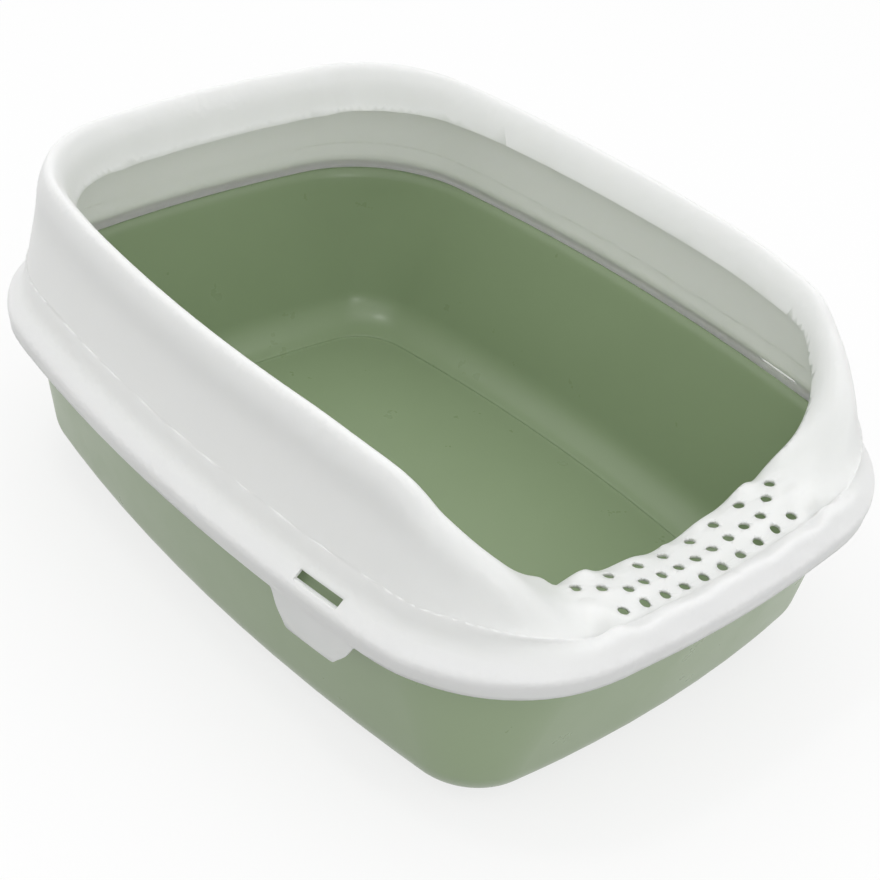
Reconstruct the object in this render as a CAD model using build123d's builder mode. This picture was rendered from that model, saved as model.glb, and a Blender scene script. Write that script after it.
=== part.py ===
from build123d import *

import math
import os

# All sizes are in millimetres. The tray stands on z = 0, its length runs along Y
# and the low entry faces -Y. Heights are measured from the floor it stands on.

# Plan outline of the rim's skirt, from which every other outline is an inward offset
SKIRT_HALF_LENGTH = 277.5
SKIRT_HALF_WIDTH = 209.5
SKIRT_CORNER_RADIUS = 110.5
LONG_SIDE_BOW_RADIUS = 1334.0
SHORT_SIDE_BOW_RADIUS = 895.0

# Heights that both mouldings take from the skirt's lower edge, the one height set here
SKIRT_BOTTOM_HEIGHT = 118.0
TRAY_WALL_TOP_RISE = 6.0
BEAD_BOTTOM_RISE = 3.5
INNER_WALL_TOP_RISE = 8.5
BEAD_JOIN_RISE = 12.5

# Tray moulding
TRAY_WALL = 2.6
TRAY_FOOT_DEPTH = 1.2
TRAY_COVE_RADIUS = 34.0
TRAY_COVE_CENTRE_INSET = 66.0
TRAY_WALL_TOP_INSET = 14.5
TRAY_WALL_TOP_HEIGHT = SKIRT_BOTTOM_HEIGHT + TRAY_WALL_TOP_RISE
TRAY_FLOOR_CORNER_RADIUS = 39.0
TRAY_COVE_CORNER_RADIUS = 50.0
TRAY_TOP_CORNER_RADIUS = 99.0
COVE_STEPS = 8
FLOOR_PANEL_INSET = 60.0
FLOOR_PANEL_CORNER_RADIUS = 42.0

# Outside of the bead and the groove under it, as rise and lean in from the bead's
# lower edge, and the rounded inner edge of the tray's mouth, as rise and lean out
# from the inner wall's top
BEAD_PROFILE = [(0.0, 0.0), (3.0, 0.0), (4.9, 1.55), (6.9, 3.95), (9.4, 6.95), (11.2, 8.5), (11.9, 9.5)]
GROOVE_PROFILE = [(0.0, 2.2), (2.6, 2.2), (7.9, 8.5)]
MOUTH_ROLL_PROFILE = [(1.5, 0.45), (3.0, 1.0), (4.6, 1.9), (6.0, 3.0), (6.9, 4.1)]

# Rim moulding
RIM_WALL = 2.2
SKIRT_BOTTOM_OUTSET = 0.5
CREASE_LEDGE_WIDTH = 1.2
CREASE_LEDGE_RISE = 0.6
ENTRY_LEDGE_WIDTH = 1.5
ENTRY_LEDGE_RISE = -2.0
BEAD_CLEARANCE = 0.35

# Skirt, as rise above its lower edge and outset from its plan outline, then the
# shoulder between skirt and crease, as inset and rise, on the sides and at the entry
SKIRT_POINTS = [(0.0, SKIRT_BOTTOM_OUTSET), (6.0, 1.1), (12.0, 1.5)]
SIDE_SHOULDER = [(2.5, 17.4), (8.3, 23.6), (10.3, 30.0)]
ENTRY_SHOULDER = [(2.5, 17.4), (8.3, 23.4), (13.5, 21.7)]

# Snap tabs and the slots above them
TAB_CENTRE_Y = -SKIRT_HALF_LENGTH / 2
TAB_LENGTH = 21.0
SLOT_LENGTH = 33.0
SLOT_BOTTOM_RISE = 15.4
SLOT_TOP_RISE = 20.4
SLOT_REACH = SKIRT_HALF_WIDTH - 10.5
SLOT_DEPTH = 18.0

# Drain holes in the entry ramp
HOLE_DIAMETER = 7.0
HOLE_CUT_DEPTH = 45.0
HOLE_ROWS = [
    (26.3, [8.2, 24.5, 40.8, 57.0, 73.4]),
    (40.0, [0.0, 14.6, 29.2, 43.8]),
    (38.4, [57.6]),
    (45.0, [71.7]),
    (54.3, [12.0, 33.0, 57.0]),
    (52.0, [84.5]),
]

# Rim section at each heading round the plan. Heading 0 is the middle of the back,
# 90 the middle of the long side and 180 the middle of the entry. Columns: heading,
# crease inset and rise, crest inset and rise, lip edge inset and rise, then the
# crest's reach and drop towards the wall, and the same towards the lip. Each rise is
# above the skirt's lower edge.
SIDE_CREASE_RISE = 38.5
ENTRY_CREASE_RISE = 16.8
RIM_SECTIONS = [
    (0.0, 11.3, SIDE_CREASE_RISE, 26.0, 110.5, 43.0, 78.0, 6.0, 8.0, 5.5, 4.5),
    (45.0, 11.3, SIDE_CREASE_RISE, 30.0, 111.5, 46.5, 80.0, 6.0, 8.0, 5.5, 4.5),
    (85.0, 11.3, SIDE_CREASE_RISE, 26.0, 109.3, 40.8, 85.5, 6.0, 8.0, 5.5, 4.5),
    (90.0, 11.3, SIDE_CREASE_RISE, 25.8, 108.5, 40.3, 86.3, 6.0, 8.0, 5.5, 4.5),
    (94.0, 11.3, SIDE_CREASE_RISE, 26.3, 108.4, 39.8, 86.5, 6.2, 8.0, 5.6, 4.8),
    (96.0, 11.3, SIDE_CREASE_RISE, 26.9, 105.6, 39.8, 84.3, 6.4, 8.0, 5.8, 5.0),
    (97.5, 11.3, SIDE_CREASE_RISE, 27.8, 100.6, 39.9, 80.5, 6.6, 8.0, 6.0, 5.2),
    (104.0, 11.3, SIDE_CREASE_RISE, 29.0, 93.0, 40.8, 72.3, 7.4, 8.0, 6.4, 5.4),
    (112.0, 11.3, SIDE_CREASE_RISE, 29.7, 85.8, 42.2, 64.7, 8.0, 8.0, 6.8, 5.6),
    (127.0, 11.4, 38.0, 30.2, 72.0, 46.6, 51.6, 8.6, 7.0, 7.6, 4.8),
    (142.0, 11.6, 34.5, 31.0, 56.6, 52.3, 42.5, 10.0, 4.8, 8.6, 3.2),
    (157.0, 12.4, 29.6, 38.0, 37.0, 57.2, 35.0, 12.0, 2.6, 10.0, 0.7),
    (166.0, 14.2, 24.6, 43.0, 30.2, 61.8, 26.6, 13.0, 1.6, 10.0, 0.9),
    (171.5, 15.8, 21.2, 42.5, 26.4, 63.2, 21.8, 13.0, 1.4, 10.0, 1.0),
    (175.5, 17.4, 18.4, 39.0, 20.4, 64.0, 15.4, 11.5, 1.2, 10.0, 1.2),
    (180.0, 18.5, ENTRY_CREASE_RISE, 34.5, 13.9, 64.2, 6.9, 9.0, 0.8, 10.0, 1.3),
]
SECTION_GAPS = 40
EXTRA_GAPS = 2
SHOULDER_INSIDE_SHARE = 0.95
SHOULDER_STATIONS = [0.0, 0.12, 0.24, 0.32, 0.4, 0.48, 0.56, 0.64, 0.72, 0.8, 0.9, 1.0]
WALL_STATIONS = [0.0, 0.15, 0.3, 0.42, 0.52, 0.58, 0.62, 0.66, 0.7, 0.74, 0.78, 0.83, 0.89, 0.95, 1.0]


class Outline:
    """A rounded rectangle with bowed sides, inset from the rim's skirt."""

    def __init__(self, inset, corner_radius=None):
        if corner_radius is None:
            corner_radius = SKIRT_CORNER_RADIUS - inset
        half_length = SKIRT_HALF_LENGTH - inset
        half_width = SKIRT_HALF_WIDTH - inset
        long_radius = LONG_SIDE_BOW_RADIUS - inset
        short_radius = SHORT_SIDE_BOW_RADIUS - inset
        self.long_centre = (half_width - long_radius, 0.0)
        self.short_centre = (0.0, half_length - short_radius)
        self.half_length = half_length
        self.half_width = half_width
        self.long_radius = long_radius
        self.short_radius = short_radius
        self.corner_radius = corner_radius
        # The corner arc touches both side arcs, so its centre lies at a known
        # distance from each of their centres.
        reach_long = long_radius - corner_radius
        reach_short = short_radius - corner_radius
        across = self.short_centre[0] - self.long_centre[0]
        along = self.short_centre[1] - self.long_centre[1]
        span = math.hypot(across, along)
        foot = (reach_long**2 - reach_short**2 + span**2) / (2 * span)
        rise = math.sqrt(reach_long**2 - foot**2)
        unit = (across / span, along / span)
        self.corner_centre = (
            self.long_centre[0] + foot * unit[0] - rise * unit[1],
            self.long_centre[1] + foot * unit[1] + rise * unit[0],
        )
        if self.corner_centre[0] < 0 or self.corner_centre[1] < 0:
            self.corner_centre = (
                self.long_centre[0] + foot * unit[0] + rise * unit[1],
                self.long_centre[1] + foot * unit[1] - rise * unit[0],
            )
        self.first_heading = math.degrees(
            math.atan2(self.corner_centre[0], self.corner_centre[1] - self.short_centre[1])
        )
        self.last_heading = math.degrees(
            math.atan2(self.corner_centre[0] - self.long_centre[0], self.corner_centre[1])
        )

    def point(self, heading):
        """The point whose outward direction has this heading, from 0 at +Y to 90 at +X."""
        if heading < self.first_heading:
            centre, radius = self.short_centre, self.short_radius
        elif heading > self.last_heading:
            centre, radius = self.long_centre, self.long_radius
        else:
            centre, radius = self.corner_centre, self.corner_radius
        turn = math.radians(heading)
        return (centre[0] + radius * math.sin(turn), centre[1] + radius * math.cos(turn))

    def loop_point(self, heading):
        """The same for any heading, right round the plan."""
        turn = math.radians(heading)
        x, y = self.point(math.degrees(math.asin(abs(math.sin(turn)))))
        return (math.copysign(x, math.sin(turn)), math.copysign(y, math.cos(turn)))

    def arcs(self):
        """Radius and last heading of each arc from the middle of the back to past the entry."""
        return [
            (self.short_radius, self.first_heading),
            (self.corner_radius, self.last_heading),
            (self.long_radius, 180 - self.last_heading),
            (self.corner_radius, 180 - self.first_heading),
            (self.short_radius, 180 + self.first_heading),
        ]

    def heading_at(self, distance):
        """The heading at a distance along the outline from the middle of the back."""
        heading = 0.0
        for radius, end in self.arcs():
            length = radius * math.radians(end - heading)
            if distance <= length:
                return heading + math.degrees(distance / radius)
            distance -= length
            heading = end
        return heading

    def distance_at(self, heading):
        """Distance along the outline from the middle of the back to a heading."""
        distance = 0.0
        start = 0.0
        for radius, end in self.arcs():
            distance += radius * math.radians(max(min(heading, end) - start, 0.0))
            start = end
        return distance

    def half_length_round(self):
        """Length of the outline from the middle of the back to the middle of the entry."""
        short = self.short_radius * self.first_heading
        corner = self.corner_radius * (self.last_heading - self.first_heading)
        long = self.long_radius * (90 - self.last_heading)
        return 2 * math.radians(short + corner + long)

    def face(self, height):
        """The closed outline as a flat face at a height."""
        end_x, end_y = self.point(self.first_heading)
        mid_x, mid_y = self.point((self.first_heading + self.last_heading) / 2)
        side_x, side_y = self.point(self.last_heading)
        with BuildSketch(Plane.XY.offset(height)) as level:
            with BuildLine():
                for sign in (1, -1):
                    ThreePointArc((-end_x, sign * end_y), (0, sign * self.half_length), (end_x, sign * end_y))
                    ThreePointArc((sign * side_x, -side_y), (sign * self.half_width, 0), (sign * side_x, side_y))
                    for other in (1, -1):
                        ThreePointArc(
                            (sign * end_x, other * end_y),
                            (sign * mid_x, other * mid_y),
                            (sign * side_x, other * side_y),
                        )
            make_face()
        return level.sketch.face()


# Tray profile: the wall line touches the cove circle and ends under the bead
COVE_CENTRE_HEIGHT = TRAY_FOOT_DEPTH + TRAY_COVE_RADIUS
wall_reach = TRAY_COVE_CENTRE_INSET - TRAY_WALL_TOP_INSET
wall_rise = TRAY_WALL_TOP_HEIGHT - COVE_CENTRE_HEIGHT
WALL_DRAFT = math.acos(TRAY_COVE_RADIUS / math.hypot(wall_reach, wall_rise)) - math.atan2(wall_rise, wall_reach)


def tray_corner_radius(height):
    """Corner radius of the tray's outside at a height."""
    cove_top = COVE_CENTRE_HEIGHT - TRAY_COVE_RADIUS * math.sin(WALL_DRAFT)
    if height < cove_top:
        share = max(height / cove_top, 0)
        return TRAY_FLOOR_CORNER_RADIUS + share * (TRAY_COVE_CORNER_RADIUS - TRAY_FLOOR_CORNER_RADIUS)
    share = (height - cove_top) / (TRAY_WALL_TOP_HEIGHT - cove_top)
    return TRAY_COVE_CORNER_RADIUS + share * (TRAY_TOP_CORNER_RADIUS - TRAY_COVE_CORNER_RADIUS)


def wall_inset(height, depth):
    """Inset of the tray's wall line at a height, a given depth into the wall."""
    lean = (TRAY_WALL_TOP_HEIGHT - height) * math.tan(WALL_DRAFT)
    return TRAY_WALL_TOP_INSET + lean + depth / math.cos(WALL_DRAFT)


def tub(depth, top_height, mode=Mode.ADD):
    """Lofts the coved bottom and the straight wall, a given depth into the material."""
    radius = TRAY_COVE_RADIUS - depth
    cove_faces = []
    for step in range(COVE_STEPS + 1):
        turn = (math.pi / 2 - WALL_DRAFT) * step / COVE_STEPS
        height = COVE_CENTRE_HEIGHT - radius * math.cos(turn)
        inset = TRAY_COVE_CENTRE_INSET - radius * math.sin(turn)
        cove_faces.append(Outline(inset, tray_corner_radius(height) - depth).face(height))
    loft(cove_faces, mode=mode)
    top = Outline(wall_inset(top_height, depth), tray_corner_radius(top_height) - depth)
    loft([cove_faces[-1], top.face(top_height)], ruled=True, mode=mode)
    return top


# Tray: a drafted tub with a coved bottom, a stepped floor panel and a hollow top bead
BEAD_INSET = RIM_WALL - SKIRT_BOTTOM_OUTSET + BEAD_CLEARANCE
BEAD_BOTTOM_HEIGHT = SKIRT_BOTTOM_HEIGHT + BEAD_BOTTOM_RISE
INNER_WALL_TOP_HEIGHT = SKIRT_BOTTOM_HEIGHT + INNER_WALL_TOP_RISE


def bead_loft(profile, mode=Mode.ADD):
    """Lofts a profile of the bead, given as rise and lean in from its lower edge."""
    faces = []
    for rise, lean in profile:
        faces.append(Outline(BEAD_INSET + lean).face(BEAD_BOTTOM_HEIGHT + rise))
    loft(faces, ruled=True, mode=mode)


with BuildPart() as bead:
    bead_loft(BEAD_PROFILE)
    bead_loft(GROOVE_PROFILE, Mode.SUBTRACT)

with BuildPart() as tray:
    tub(0.0, SKIRT_BOTTOM_HEIGHT + BEAD_JOIN_RISE)
    add(bead.part)
    extrude(
        Outline(FLOOR_PANEL_INSET - TRAY_WALL, FLOOR_PANEL_CORNER_RADIUS + TRAY_WALL).face(0.0),
        amount=TRAY_FOOT_DEPTH + TRAY_WALL,
    )
    mouth = tub(TRAY_WALL, INNER_WALL_TOP_HEIGHT, Mode.SUBTRACT)
    mouth_inset = wall_inset(INNER_WALL_TOP_HEIGHT, TRAY_WALL)
    roll_faces = [mouth.face(INNER_WALL_TOP_HEIGHT)]
    for rise, lean in MOUTH_ROLL_PROFILE:
        roll = Outline(mouth_inset - lean, mouth.corner_radius + lean)
        roll_faces.append(roll.face(INNER_WALL_TOP_HEIGHT + rise))
    loft(roll_faces, ruled=True, mode=Mode.SUBTRACT)
    extrude(
        Outline(FLOOR_PANEL_INSET, FLOOR_PANEL_CORNER_RADIUS).face(TRAY_WALL),
        amount=TRAY_FOOT_DEPTH + TRAY_WALL,
        mode=Mode.SUBTRACT,
    )


skirt_outline = Outline(0.0)
SECTION_PLACES = [skirt_outline.distance_at(row[0]) for row in RIM_SECTIONS]


def smooth_value(distance, column):
    """A column of RIM_SECTIONS at any distance round, on a smooth curve without overshoot."""
    place = 0
    while place < len(RIM_SECTIONS) - 2 and distance > SECTION_PLACES[place + 1]:
        place += 1

    def rise_between(index):
        """Slope of the straight line from one section to the next."""
        gap = SECTION_PLACES[index + 1] - SECTION_PLACES[index]
        return (RIM_SECTIONS[index + 1][column] - RIM_SECTIONS[index][column]) / gap

    def slope(index):
        """Slope of the curve at one section."""
        if index == 0 or index == len(RIM_SECTIONS) - 1:
            return 0.0
        before, after = rise_between(index - 1), rise_between(index)
        if before * after <= 0:
            return 0.0
        return 2 * before * after / (before + after)

    gap = SECTION_PLACES[place + 1] - SECTION_PLACES[place]
    t = (distance - SECTION_PLACES[place]) / gap
    return (
        RIM_SECTIONS[place][column] * (2 * t**3 - 3 * t**2 + 1)
        + RIM_SECTIONS[place + 1][column] * (3 * t**2 - 2 * t**3)
        + slope(place) * gap * (t**3 - 2 * t**2 + t)
        + slope(place + 1) * gap * (t**3 - t**2)
    )


def rim_profile(distance):
    """Outside of the rim at a distance round: guide points below and above its crease."""
    half_round = skirt_outline.half_length_round()
    distance = half_round - abs(half_round - abs(distance))
    crease_in, crease_rise, crest_in, crest_rise, edge_in, edge_rise, reach, drop, lip_reach, lip_drop = [
        smooth_value(distance, column) for column in range(1, 11)
    ]
    side = (crease_rise - ENTRY_CREASE_RISE) / (SIDE_CREASE_RISE - ENTRY_CREASE_RISE)

    def blend(side_value, entry_value):
        return side * side_value + (1 - side) * entry_value

    shoulder = [(outset, rise) for rise, outset in SKIRT_POINTS]
    for (side_in, side_rise), (entry_in, entry_rise) in zip(SIDE_SHOULDER, ENTRY_SHOULDER):
        shoulder.append((-blend(side_in, entry_in), blend(side_rise, entry_rise)))
    shoulder.append((-crease_in, crease_rise))
    foot = (
        -crease_in - blend(CREASE_LEDGE_WIDTH, ENTRY_LEDGE_WIDTH),
        crease_rise + blend(CREASE_LEDGE_RISE, ENTRY_LEDGE_RISE),
    )
    top = (-crest_in + reach, crest_rise - drop)
    lip = (-crest_in - lip_reach, crest_rise - lip_drop)
    edge = (-edge_in, edge_rise)
    wall = [
        foot,
        (foot[0] + (top[0] - foot[0]) / 3, foot[1] + (top[1] - foot[1]) / 3),
        (foot[0] + (top[0] - foot[0]) * 2 / 3, foot[1] + (top[1] - foot[1]) * 2 / 3),
        top,
        (-crest_in, crest_rise),
        lip,
        ((lip[0] + edge[0]) / 2 - 0.4, (lip[1] + edge[1]) / 2 + 0.8),
        edge,
    ]
    return [[(across, SKIRT_BOTTOM_HEIGHT + rise) for across, rise in run] for run in (shoulder, wall)]


def two_sides(guide_points, stations, inside_share=1.0):
    """Draws the outside run and, one wall behind a share of it, the inside run."""
    guide = Spline(*guide_points, mode=Mode.PRIVATE)
    outside = [guide @ station for station in stations]
    inside = []
    for station in stations:
        along = guide % (station * inside_share)
        inside.append(guide @ (station * inside_share) - RIM_WALL * Vector(along.Y, -along.X))
    runs = [Edge.make_spline(points, parameters=stations) for points in (outside, inside)]
    add(runs)
    return runs


def entry_line_y(inset, x):
    """Y of the bowed line at an inset from the skirt's entry side, at a given X."""
    line = Outline(inset)
    return -line.short_centre[1] - math.sqrt(line.short_radius**2 - x**2)


# Snap tabs: tongues of the skirt that reach down below its edge on both long sides,
# drawn as reach from the tab's middle and depth below the skirt's edge
TAB_HALF_EDGE = [(35.0, -0.2), (31.0, 2.8), (26.5, 11.5), (20.5, 18.4), (14.0, TAB_LENGTH)]
TAB_BOTTOM_HEIGHT = SKIRT_BOTTOM_HEIGHT - TAB_LENGTH
TAB_OVERLAP = 3.0
TAB_OUTSIDE_INSET = -SKIRT_BOTTOM_OUTSET + 0.15
TAB_WALL = RIM_WALL - 0.5

with BuildPart() as snap_tabs:
    tab_height = SKIRT_BOTTOM_HEIGHT + TAB_OVERLAP - TAB_BOTTOM_HEIGHT
    extrude(Outline(TAB_OUTSIDE_INSET).face(TAB_BOTTOM_HEIGHT), amount=tab_height)
    extrude(Outline(TAB_OUTSIDE_INSET + TAB_WALL).face(TAB_BOTTOM_HEIGHT), amount=tab_height, mode=Mode.SUBTRACT)
    with BuildSketch(Plane.YZ):
        with BuildLine():
            for side in (1, -1):
                edge_points = [
                    (TAB_CENTRE_Y + side * reach, SKIRT_BOTTOM_HEIGHT - depth) for reach, depth in TAB_HALF_EDGE
                ]
                Spline(*edge_points, tangents=[(-side, 0), (-side, 0)])
                Line(edge_points[0], (edge_points[0][0], SKIRT_BOTTOM_HEIGHT + TAB_OVERLAP))
            low_reach = TAB_HALF_EDGE[-1][0]
            Line((TAB_CENTRE_Y - low_reach, TAB_BOTTOM_HEIGHT), (TAB_CENTRE_Y + low_reach, TAB_BOTTOM_HEIGHT))
            top_reach = TAB_HALF_EDGE[0][0]
            top_height = SKIRT_BOTTOM_HEIGHT + TAB_OVERLAP
            Line((TAB_CENTRE_Y - top_reach, top_height), (TAB_CENTRE_Y + top_reach, top_height))
        make_face()
    extrude(amount=SKIRT_HALF_WIDTH + SKIRT_BOTTOM_OUTSET, both=True, mode=Mode.INTERSECT)

# Rim: skirt, shoulder, leaning wall and rolled-in lip, lofted round one half
with BuildPart() as rim:
    gap = skirt_outline.half_length_round() / SECTION_GAPS
    for index in range(-EXTRA_GAPS, SECTION_GAPS + EXTRA_GAPS + 1):
        heading = skirt_outline.heading_at(index * gap)
        x, y = skirt_outline.loop_point(heading)
        turn = math.radians(heading)
        outward = (math.sin(turn), math.cos(turn), 0)
        onward = (math.cos(turn), -math.sin(turn), 0)
        shoulder_points, wall_points = rim_profile(index * gap)
        with BuildSketch(Plane(origin=(x, y, 0), x_dir=outward, z_dir=onward)):
            with BuildLine():
                shoulder_out, shoulder_in = two_sides(shoulder_points, SHOULDER_STATIONS, SHOULDER_INSIDE_SHARE)
                wall_out, wall_in = two_sides(wall_points, WALL_STATIONS)
                Line(shoulder_out @ 0, shoulder_in @ 0)
                Line(shoulder_out @ 1, wall_out @ 0)
                Line(shoulder_in @ 1, wall_in @ 0)
                Line(wall_out @ 1, wall_in @ 1)
            make_face()
    loft()
    split(bisect_by=Plane.YZ, keep=Keep.TOP)
    mirror(about=Plane.YZ)
    add(snap_tabs.part)
    slot_middle = SKIRT_BOTTOM_HEIGHT + (SLOT_BOTTOM_RISE + SLOT_TOP_RISE) / 2
    for side in (1, -1):
        with Locations((side * SLOT_REACH, TAB_CENTRE_Y, slot_middle)):
            Box(SLOT_DEPTH, SLOT_LENGTH, SLOT_TOP_RISE - SLOT_BOTTOM_RISE, mode=Mode.SUBTRACT)
    with BuildSketch(Plane.XY.offset(SKIRT_BOTTOM_HEIGHT)):
        for inset, places in HOLE_ROWS:
            middles = [(side * x, entry_line_y(inset, x)) for x in places for side in (1, -1)]
            with Locations(*sorted(set(middles))):
                Circle(HOLE_DIAMETER / 2)
    extrude(amount=HOLE_CUT_DEPTH, mode=Mode.SUBTRACT)

os.makedirs("parts", exist_ok=True)
tray.part.label = "tray"
export_step(tray.part, "parts/tray.step")
rim.part.label = "rim"
export_step(rim.part, "parts/rim.step")
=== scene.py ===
"""Looks of a two-piece litter tray: a sage green tub and the white splash rim that snaps onto it.

Lengths are in metres except where a class says millimetres, and colours are linear. The
tub is lofted here from its own rows, the rim is a merged copy of its CAD node, and the
camera stands at the photograph's angle.
"""
import logging
import math
from dataclasses import dataclass, field
from enum import Enum

import bpy
from mathutils import Matrix, Vector


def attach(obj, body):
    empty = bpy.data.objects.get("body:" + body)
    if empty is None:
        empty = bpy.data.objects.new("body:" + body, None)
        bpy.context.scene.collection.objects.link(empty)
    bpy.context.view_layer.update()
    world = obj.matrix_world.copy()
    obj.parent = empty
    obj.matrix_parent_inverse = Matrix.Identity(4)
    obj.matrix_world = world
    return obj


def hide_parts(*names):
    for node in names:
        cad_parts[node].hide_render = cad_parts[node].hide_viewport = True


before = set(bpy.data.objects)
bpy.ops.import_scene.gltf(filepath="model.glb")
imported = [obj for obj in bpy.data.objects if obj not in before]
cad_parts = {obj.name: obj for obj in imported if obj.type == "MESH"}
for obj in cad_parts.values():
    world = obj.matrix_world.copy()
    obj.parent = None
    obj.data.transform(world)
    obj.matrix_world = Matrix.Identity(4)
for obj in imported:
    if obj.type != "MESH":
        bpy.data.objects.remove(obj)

LOG = logging.getLogger("litter_tray")
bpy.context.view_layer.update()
MM = 0.001

Colour = tuple[float, float, float]
Row = tuple[float, float, float]


class Moulding(Enum):
    """The two mouldings, by the names of their CAD nodes."""

    TRAY = "tray"
    RIM = "rim"


class NodeKind(Enum):
    """Shader nodes that the finishes are made from."""

    COORDINATES = "ShaderNodeTexCoord"
    MAPPING = "ShaderNodeMapping"
    NOISE = "ShaderNodeTexNoise"
    RAMP = "ShaderNodeValToRGB"
    RANGE = "ShaderNodeMapRange"
    BUMP = "ShaderNodeBump"
    LIGHT_PATH = "ShaderNodeLightPath"
    MATH = "ShaderNodeMath"
    MIX_SHADER = "ShaderNodeMixShader"
    ADD_SHADER = "ShaderNodeAddShader"
    EMISSION = "ShaderNodeEmission"
    DIFFUSE = "ShaderNodeBsdfDiffuse"
    BACKGROUND = "ShaderNodeBackground"


class ShaderGraph:
    """Adds and links the nodes of one material or world."""

    def __init__(self, owner: bpy.types.ID) -> None:
        """Starts from the owner's own nodes.

        Args:
            owner: A material or a world that uses nodes.
        """
        owner.use_nodes = True
        self.tree = owner.node_tree

    def add(self, kind: NodeKind, **inputs: float | Colour) -> bpy.types.Node:
        """Adds a node and sets its inputs.

        Args:
            kind: Which node it is.
            **inputs: Values by socket name, with underscores for spaces.

        Returns:
            The new node.
        """
        node = self.tree.nodes.new(kind.value)
        for name, value in inputs.items():
            node.inputs[name.replace("_", " ")].default_value = value
        return node

    def link(self, source: bpy.types.NodeSocket, target: bpy.types.NodeSocket) -> None:
        """Joins an output to an input."""
        self.tree.links.new(source, target)

    def first(self, kind: str) -> bpy.types.Node:
        """Finds the node of a kind that the tree started with."""
        return next(node for node in self.tree.nodes if node.type == kind)


@dataclass(frozen=True)
class MouldedPlastic:
    """Satin moulded polypropylene with a faint mottle, polish marks and orange peel."""

    name: str
    base: Colour
    mottle: Colour
    roughness_low: float
    roughness_high: float
    mottle_scale: float = 9.0
    polish_scale: float = 34.0
    peel_scale: float = 900.0
    peel_depth: float = 0.00004
    peel_strength: float = 0.12
    glow_through: float = 0.0
    glow_depth: float = 0.004
    glow_tint: Colour = (1.0, 0.98, 0.94)
    ior: float = 1.49
    noise_low: float = 0.3
    noise_high: float = 0.7

    def build(self) -> bpy.types.Material:
        """Makes the material.

        Returns:
            The finished material.
        """
        material = bpy.data.materials.new(self.name)
        graph = ShaderGraph(material)
        shader = graph.first("BSDF_PRINCIPLED")
        shader.inputs["IOR"].default_value = self.ior
        shader.inputs["Subsurface Weight"].default_value = self.glow_through
        shader.inputs["Subsurface Radius"].default_value = self.glow_tint
        shader.inputs["Subsurface Scale"].default_value = self.glow_depth
        place = graph.add(NodeKind.COORDINATES)

        mottle = graph.add(NodeKind.NOISE, Scale=self.mottle_scale, Detail=3.0, Roughness=0.5)
        graph.link(place.outputs["Object"], mottle.inputs["Vector"])
        ramp = graph.add(NodeKind.RAMP)
        ramp.color_ramp.elements[0].position = self.noise_low
        ramp.color_ramp.elements[0].color = (*self.mottle, 1.0)
        ramp.color_ramp.elements[1].position = self.noise_high
        ramp.color_ramp.elements[1].color = (*self.base, 1.0)
        graph.link(mottle.outputs["Fac"], ramp.inputs["Fac"])
        graph.link(ramp.outputs["Color"], shader.inputs["Base Color"])

        polish = graph.add(NodeKind.NOISE, Scale=self.polish_scale, Detail=4.0, Roughness=0.6)
        graph.link(place.outputs["Object"], polish.inputs["Vector"])
        rough = graph.add(NodeKind.RANGE)
        rough.inputs["From Min"].default_value = self.noise_low
        rough.inputs["From Max"].default_value = self.noise_high
        rough.inputs["To Min"].default_value = self.roughness_low
        rough.inputs["To Max"].default_value = self.roughness_high
        graph.link(polish.outputs["Fac"], rough.inputs["Value"])
        graph.link(rough.outputs["Result"], shader.inputs["Roughness"])

        peel = graph.add(NodeKind.NOISE, Scale=self.peel_scale, Detail=2.0, Roughness=0.5)
        graph.link(place.outputs["Object"], peel.inputs["Vector"])
        bump = graph.add(NodeKind.BUMP, Strength=self.peel_strength, Distance=self.peel_depth)
        graph.link(peel.outputs["Fac"], bump.inputs["Height"])
        graph.link(bump.outputs["Normal"], shader.inputs["Normal"])
        return material


GREEN_PLASTIC = MouldedPlastic(
    name="green_plastic",
    base=(0.300, 0.385, 0.232),
    mottle=(0.290, 0.374, 0.223),
    roughness_low=0.27,
    roughness_high=0.34,
)
WHITE_PLASTIC = MouldedPlastic(
    name="white_plastic",
    base=(0.850, 0.852, 0.842),
    mottle=(0.836, 0.839, 0.828),
    roughness_low=0.36,
    roughness_high=0.44,
    glow_through=0.7,
    glow_depth=0.006,
)


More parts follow.
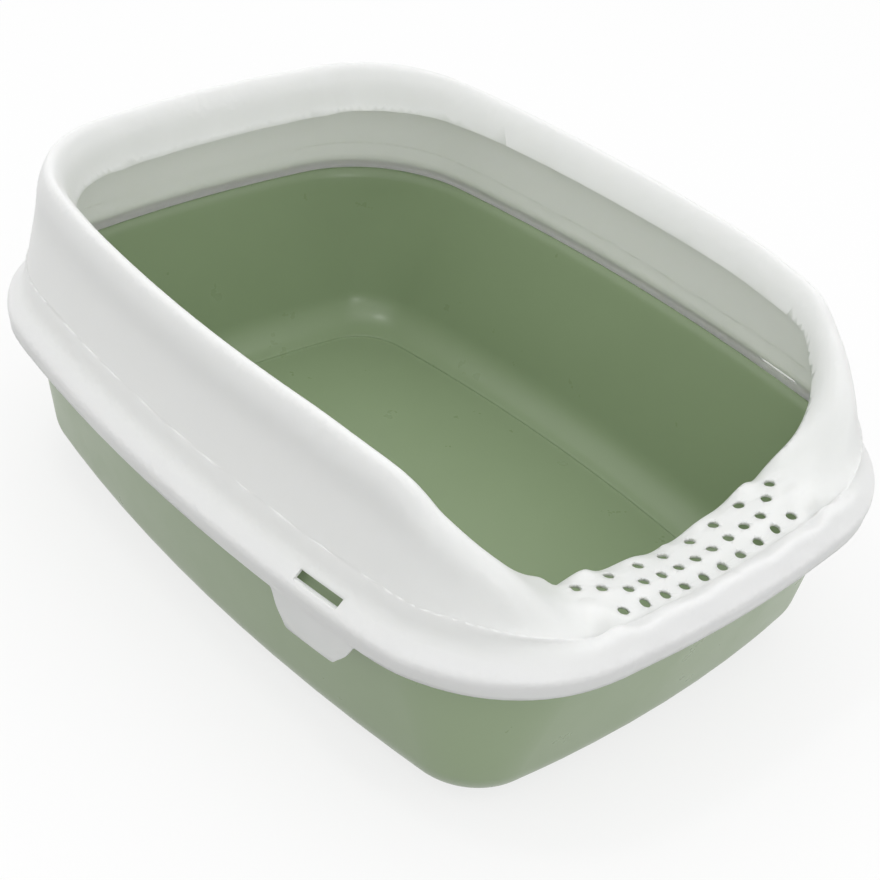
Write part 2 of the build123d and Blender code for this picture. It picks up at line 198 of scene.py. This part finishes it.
@dataclass(frozen=True)
class Plan:
    """A closed plan line of the mouldings: a rounded rectangle with bowed sides, in millimetres."""

    inset: float
    corner_radius: float
    half_length: float = 277.5
    half_width: float = 209.5
    long_bow: float = 1334.0
    short_bow: float = 895.0

    def corner_centre(self) -> tuple[float, float]:
        """Centre of the corner arc that touches both bowed sides."""
        reach_long = self.long_bow - self.inset - self.corner_radius
        reach_short = self.short_bow - self.inset - self.corner_radius
        long_x = self.half_width - self.long_bow
        short_y = self.half_length - self.short_bow
        span = math.hypot(long_x, short_y)
        foot = (reach_long**2 - reach_short**2 + span**2) / (2 * span)
        rise = math.sqrt(reach_long**2 - foot**2)
        across, along = -long_x / span, short_y / span
        return (long_x + foot * across - rise * along, foot * along + rise * across)

    def point(self, heading: float, height: float) -> Vector:
        """The point whose outward direction has a heading.

        Args:
            heading: Degrees from 0 at +Y to 90 at +X and right round.
            height: Height of the point in millimetres.

        Returns:
            The point in metres.
        """
        turn = math.radians(heading)
        across, along = abs(math.sin(turn)), abs(math.cos(turn))
        corner_x, corner_y = self.corner_centre()
        short_y = self.half_length - self.short_bow
        long_x = self.half_width - self.long_bow
        if across / max(along, 1e-9) < corner_x / (corner_y - short_y):
            radius = self.short_bow - self.inset
            x, y = radius * across, short_y + radius * along
        elif along / max(across, 1e-9) < corner_y / (corner_x - long_x):
            radius = self.long_bow - self.inset
            x, y = long_x + radius * across, radius * along
        else:
            x = corner_x + self.corner_radius * across
            y = corner_y + self.corner_radius * along
        x = math.copysign(x, math.sin(turn))
        y = math.copysign(y, math.cos(turn))
        return Vector((x, y, height)) * MM


@dataclass
class TrayMoulding:
    """The green tub: foot, cove, leaning wall and hollow rolled bead, lofted right round.

    Sizes are in millimetres. A row is an inset, a corner radius and a height.
    """

    finish: MouldedPlastic
    wall: float = 2.6
    cove_radius: float = 34.0
    cove_inset: float = 66.0
    cove_height: float = 35.2
    wall_top_inset: float = 14.5
    wall_top_height: float = 124.0
    floor_corner: float = 39.0
    cove_corner: float = 50.0
    top_corner: float = 99.0
    natural_corner: float = 110.5
    bead_inset: float = 2.05
    bead_bottom: float = 121.5
    bead_profile: list[tuple[float, float]] = field(
        default_factory=lambda: [
            (0.0, 2.2), (0.0, 1.1), (0.15, 0.3), (0.6, 0.0), (2.5, 0.0), (3.2, 0.15),
            (4.9, 1.55), (6.9, 3.95), (9.4, 6.95), (11.2, 8.5), (11.7, 9.1), (11.9, 9.7),
        ]
    )
    groove_profile: list[tuple[float, float]] = field(
        default_factory=lambda: [(7.9, 11.2), (7.9, 8.5), (2.6, 2.2)]
    )
    inner_top: float = 126.5
    roll_profile: list[tuple[float, float]] = field(
        default_factory=lambda: [
            (6.9, 4.3), (6.75, 3.8), (6.0, 3.0), (4.6, 1.9),
            (3.0, 1.0), (1.5, 0.45), (0.0, 0.0),
        ]
    )
    foot_rows: list[Row] = field(
        default_factory=lambda: [
            (58.2, 43.8, 0.0), (57.7, 44.3, 0.15), (57.4, 44.6, 0.6), (57.4, 44.6, 2.4),
        ]
    )
    panel_rows: list[Row] = field(
        default_factory=lambda: [
            (59.5, 42.5, 4.35), (59.85, 42.15, 4.0), (60.0, 42.0, 3.6),
            (60.15, 41.85, 2.9), (60.8, 41.2, 2.6), (64.0, 38.0, 2.6),
        ]
    )
    outside_heights: tuple[float, ...] = (50.0, 70.0, 90.0, 110.0, 122.0, 129.35)
    inside_heights: tuple[float, ...] = (118.0, 100.0, 80.0, 60.0, 45.0)
    cove_steps: int = 14
    cove_start_outside: float = 0.29
    cove_start_inside: float = 0.24
    smooth_angle: float = math.radians(40)

    def build(self) -> bpy.types.Object:
        """Makes the tub and dresses it.

        Returns:
            The finished piece.
        """
        headings = self.headings()
        rows = self.rows()
        points = [
            Plan(inset, corner).point(turn, height)
            for inset, corner, height in rows
            for turn in headings
        ]
        count = len(headings)
        faces: list[tuple[int, ...]] = [tuple(reversed(range(count)))]
        for row in range(len(rows) - 1):
            for step in range(count):
                onward = (step + 1) % count
                low, high = row * count, (row + 1) * count
                faces.append((low + step, low + onward, high + onward, high + step))
        faces.append(tuple((len(rows) - 1) * count + step for step in range(count)))
        mesh = bpy.data.meshes.new("tray_moulding")
        mesh.from_pydata(points, [], faces)
        piece = bpy.data.objects.new("tray_moulding", mesh)
        bpy.context.scene.collection.objects.link(piece)
        bpy.ops.object.select_all(action="DESELECT")
        piece.select_set(True)
        bpy.context.view_layer.objects.active = piece
        bpy.ops.object.mode_set(mode="EDIT")
        bpy.ops.mesh.select_all(action="SELECT")
        bpy.ops.mesh.normals_make_consistent(inside=False)
        bpy.ops.object.mode_set(mode="OBJECT")
        bpy.ops.object.shade_smooth_by_angle(angle=self.smooth_angle)
        mesh.materials.append(self.finish.build())
        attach(piece, Moulding.TRAY.value)
        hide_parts(Moulding.TRAY.value)
        LOG.info("built %s with %d faces", piece.name, len(mesh.polygons))
        return piece

    def headings(self) -> list[float]:
        """Headings round the plan, closest together at the corners."""
        end_side = [0.0, 2.0, 4.0, 5.6]
        corner = [6.5 + 2.53 * step for step in range(31)]
        long_side = [83.8, 85.4, 87.0, 88.5]
        quarter = end_side + corner + long_side
        half = quarter + [90.0] + [180.0 - turn for turn in reversed(quarter)]
        return half + [360.0 - turn for turn in reversed(half[1:-1])]

    def rows(self) -> list[Row]:
        """Inset, corner radius and height of every line round the tub, from foot to floor."""
        reach = self.cove_inset - self.wall_top_inset
        rise = self.wall_top_height - self.cove_height
        draft = math.acos(self.cove_radius / math.hypot(reach, rise)) - math.atan2(rise, reach)
        cove_top = self.cove_height - self.cove_radius * math.sin(draft)

        def corner(height: float) -> float:
            """Outside corner radius at a height."""
            if height < cove_top:
                share = max(height / cove_top, 0.0)
                return self.floor_corner + share * (self.cove_corner - self.floor_corner)
            share = (height - cove_top) / (self.wall_top_height - cove_top)
            return self.cove_corner + share * (self.top_corner - self.cove_corner)

        def cove(depth: float, first: float) -> list[Row]:
            """Rows of the cove, a depth inside its outer face, from a first angle upwards."""
            radius = self.cove_radius - depth
            line = []
            for step in range(self.cove_steps + 1):
                turn = first + (math.pi / 2 - draft - first) * step / self.cove_steps
                height = self.cove_height - radius * math.cos(turn)
                inset = self.cove_inset - radius * math.sin(turn)
                line.append((inset, corner(height) - depth, height))
            return line

        def wall(height: float, depth: float) -> Row:
            """The wall's row at a height, a depth inside its outer face."""
            lean = (self.wall_top_height - height) * math.tan(draft)
            inset = self.wall_top_inset + lean + depth / math.cos(draft)
            return (inset, corner(height) - depth, height)

        def bead(profile: list[tuple[float, float]]) -> list[Row]:
            """Rows of the bead from its rises and insets."""
            line = []
            for up, lean in profile:
                inset = self.bead_inset + lean
                line.append((inset, self.natural_corner - inset, self.bead_bottom + up))
            return line

        inner_inset, inner_corner, _ = wall(self.inner_top, self.wall)
        roll = [
            (inner_inset - out, inner_corner + out, self.inner_top + up)
            for up, out in self.roll_profile
        ]
        return [
            *self.foot_rows,
            *cove(0.0, self.cove_start_outside),
            *[wall(height, 0.0) for height in self.outside_heights],
            *bead(self.groove_profile),
            *bead(self.bead_profile),
            *roll,
            *[wall(height, self.wall) for height in self.inside_heights],
            *reversed(cove(self.wall, self.cove_start_inside)),
            *self.panel_rows,
        ]


@dataclass
class RimMoulding:
    """The white rim, copied from its CAD node with its facets joined."""

    finish: MouldedPlastic
    joint_distance: float = 0.00002
    smooth_angle: float = math.radians(35)

    def build(self) -> bpy.types.Object:
        """Makes the visual piece that stands in for the CAD node.

        Returns:
            The finished piece.
        """
        piece = self.copy_node()
        bpy.ops.object.mode_set(mode="EDIT")
        bpy.ops.mesh.select_all(action="SELECT")
        bpy.ops.mesh.remove_doubles(threshold=self.joint_distance)
        bpy.ops.object.mode_set(mode="OBJECT")
        bpy.ops.object.shade_smooth_by_angle(angle=self.smooth_angle)
        weigh = piece.modifiers.new("even_shading", "WEIGHTED_NORMAL")
        weigh.keep_sharp = True
        weigh.weight = 100
        piece.data.materials.clear()
        piece.data.materials.append(self.finish.build())
        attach(piece, Moulding.RIM.value)
        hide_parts(Moulding.RIM.value)
        LOG.info("built %s with %d faces", piece.name, len(piece.data.polygons))
        return piece

    def copy_node(self) -> bpy.types.Object:
        """Copies the node's mesh into a piece of its own."""
        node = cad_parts[Moulding.RIM.value]
        bpy.ops.object.select_all(action="DESELECT")
        node.select_set(True)
        bpy.context.view_layer.objects.active = node
        bpy.ops.object.duplicate()
        piece = bpy.context.object
        piece.name = "rim_moulding"
        return piece


@dataclass(frozen=True)
class SoftBox:
    """One square lamp: its centre, side and power."""

    name: str
    place: Vector
    size: float
    power: float


@dataclass
class Studio:
    """White floor, white surroundings and soft lamps."""

    floor_half_size: float = 6.0
    floor_drop: float = 0.0002
    aim: Vector = field(default_factory=lambda: Vector((0, 0, 0.1)))
    floor_colour: Colour = (0.42, 0.42, 0.42)
    shadow_colour: Colour = (0.22, 0.22, 0.22)
    floor_glow: float = 0.755
    fill: float = 0.95

    def build(self) -> None:
        """Makes the floor, the world and the lamps."""
        self.make_world()
        self.make_floor()
        self.make_lamps()
        scene = bpy.context.scene
        scene.view_settings.view_transform = "Standard"

    def make_world(self) -> None:
        """A soft fill that the camera and reflections see as plain white."""
        world = bpy.data.worlds.new("studio_air")
        bpy.context.scene.world = world
        graph = ShaderGraph(world)
        fill = graph.first("BACKGROUND")
        fill.inputs["Color"].default_value = (1.0, 1.0, 1.0, 1.0)
        fill.inputs["Strength"].default_value = self.fill
        white = graph.add(NodeKind.BACKGROUND, Strength=1.0)
        white.inputs["Color"].default_value = (1.0, 1.0, 1.0, 1.0)
        mix = graph.add(NodeKind.MIX_SHADER)
        graph.link(self.seen_directly(graph), mix.inputs[0])
        graph.link(fill.outputs[0], mix.inputs[1])
        graph.link(white.outputs[0], mix.inputs[2])
        graph.link(mix.outputs[0], graph.first("OUTPUT_WORLD").inputs["Surface"])

    def seen_directly(self, graph: ShaderGraph) -> bpy.types.NodeSocket:
        """A socket that is 1 for camera, glossy and transmission rays.

        Args:
            graph: The tree that gets the nodes.

        Returns:
            The output of the last node.
        """
        path = graph.add(NodeKind.LIGHT_PATH)
        either = graph.add(NodeKind.MATH)
        either.operation = "MAXIMUM"
        graph.link(path.outputs["Is Camera Ray"], either.inputs[0])
        graph.link(path.outputs["Is Glossy Ray"], either.inputs[1])
        all_three = graph.add(NodeKind.MATH)
        all_three.operation = "MAXIMUM"
        graph.link(either.outputs[0], all_three.inputs[0])
        graph.link(path.outputs["Is Transmission Ray"], all_three.inputs[1])
        return all_three.outputs[0]

    def make_floor(self) -> None:
        """A plain floor that looks white and keeps the shadow."""
        bpy.ops.object.select_all(action="DESELECT")
        bpy.ops.mesh.primitive_plane_add(
            size=2 * self.floor_half_size, location=(0, 0, -self.floor_drop)
        )
        floor = bpy.context.object
        floor.name = "studio_floor"
        material = bpy.data.materials.new("studio_floor_white")
        graph = ShaderGraph(material)
        graph.tree.nodes.remove(graph.first("BSDF_PRINCIPLED"))
        matt = graph.add(NodeKind.DIFFUSE)
        matt.inputs["Color"].default_value = (*self.floor_colour, 1.0)
        faint = graph.add(NodeKind.DIFFUSE)
        faint.inputs["Color"].default_value = (*self.shadow_colour, 1.0)
        glow = graph.add(NodeKind.EMISSION, Strength=self.floor_glow)
        glow.inputs["Color"].default_value = (1.0, 1.0, 1.0, 1.0)
        both = graph.add(NodeKind.ADD_SHADER)
        graph.link(faint.outputs[0], both.inputs[0])
        graph.link(glow.outputs[0], both.inputs[1])
        mix = graph.add(NodeKind.MIX_SHADER)
        graph.link(self.seen_directly(graph), mix.inputs[0])
        graph.link(matt.outputs[0], mix.inputs[1])
        graph.link(both.outputs[0], mix.inputs[2])
        graph.link(mix.outputs[0], graph.first("OUTPUT_MATERIAL").inputs["Surface"])
        floor.data.materials.append(material)

    def make_lamps(self) -> None:
        """A large soft box overhead and two small ones for the glints in the cove."""
        self.add_soft_box(SoftBox("overhead_box", Vector((0.15, 0.10, 2.2)), 2.4, 6.0))
        self.add_soft_box(SoftBox("high_glint", Vector((-0.60, 0.14, 1.87)), 0.22, 3.0))
        self.add_soft_box(SoftBox("low_glint", Vector((-0.31, -1.63, 0.63)), 0.20, 2.2))

    def add_soft_box(self, box: SoftBox) -> None:
        """Adds one square soft box that faces the middle of the tray.

        Args:
            box: Its name, place, size and power.
        """
        data = bpy.data.lights.new(box.name, "AREA")
        data.shape = "SQUARE"
        data.size = box.size
        data.energy = box.power
        lamp = bpy.data.objects.new(box.name, data)
        bpy.context.scene.collection.objects.link(lamp)
        lamp.location = box.place
        lamp.rotation_euler = (self.aim - box.place).to_track_quat("-Z", "Y").to_euler()


@dataclass
class Viewpoint:
    """The photograph's viewpoint."""

    place: Vector = field(default_factory=lambda: Vector((-0.6306, -0.6419, 0.7163)))
    azimuth: float = math.radians(-45.417)
    elevation: float = math.radians(35.563)
    roll: float = math.radians(7.115)
    lens: float = 66.48
    sensor: float = 36.0

    def build(self) -> None:
        """Makes the camera and the scene's choice of it."""
        back = Vector(
            (
                math.sin(self.azimuth) * math.cos(self.elevation),
                -math.cos(self.azimuth) * math.cos(self.elevation),
                math.sin(self.elevation),
            )
        )
        level = Vector((math.cos(self.azimuth), math.sin(self.azimuth), 0.0))
        upright = back.cross(level)
        right = math.cos(self.roll) * level + math.sin(self.roll) * upright
        up = back.cross(right)
        turn = Matrix((right, up, back)).transposed().to_4x4()
        data = bpy.data.cameras.new("photo_view")
        data.sensor_fit = "HORIZONTAL"
        data.sensor_width = self.sensor
        data.lens = self.lens
        data.clip_start = 0.01
        data.clip_end = 100.0
        camera = bpy.data.objects.new("photo_view", data)
        bpy.context.scene.collection.objects.link(camera)
        camera.matrix_world = Matrix.Translation(self.place) @ turn
        bpy.context.scene.camera = camera


def main() -> None:
    """Builds the looks in order."""
    logging.basicConfig(level=logging.INFO, format="%(name)s: %(message)s")
    TrayMoulding(GREEN_PLASTIC).build()
    RimMoulding(WHITE_PLASTIC).build()
    Studio().build()
    Viewpoint().build()


if __name__ == "__main__":
    main()
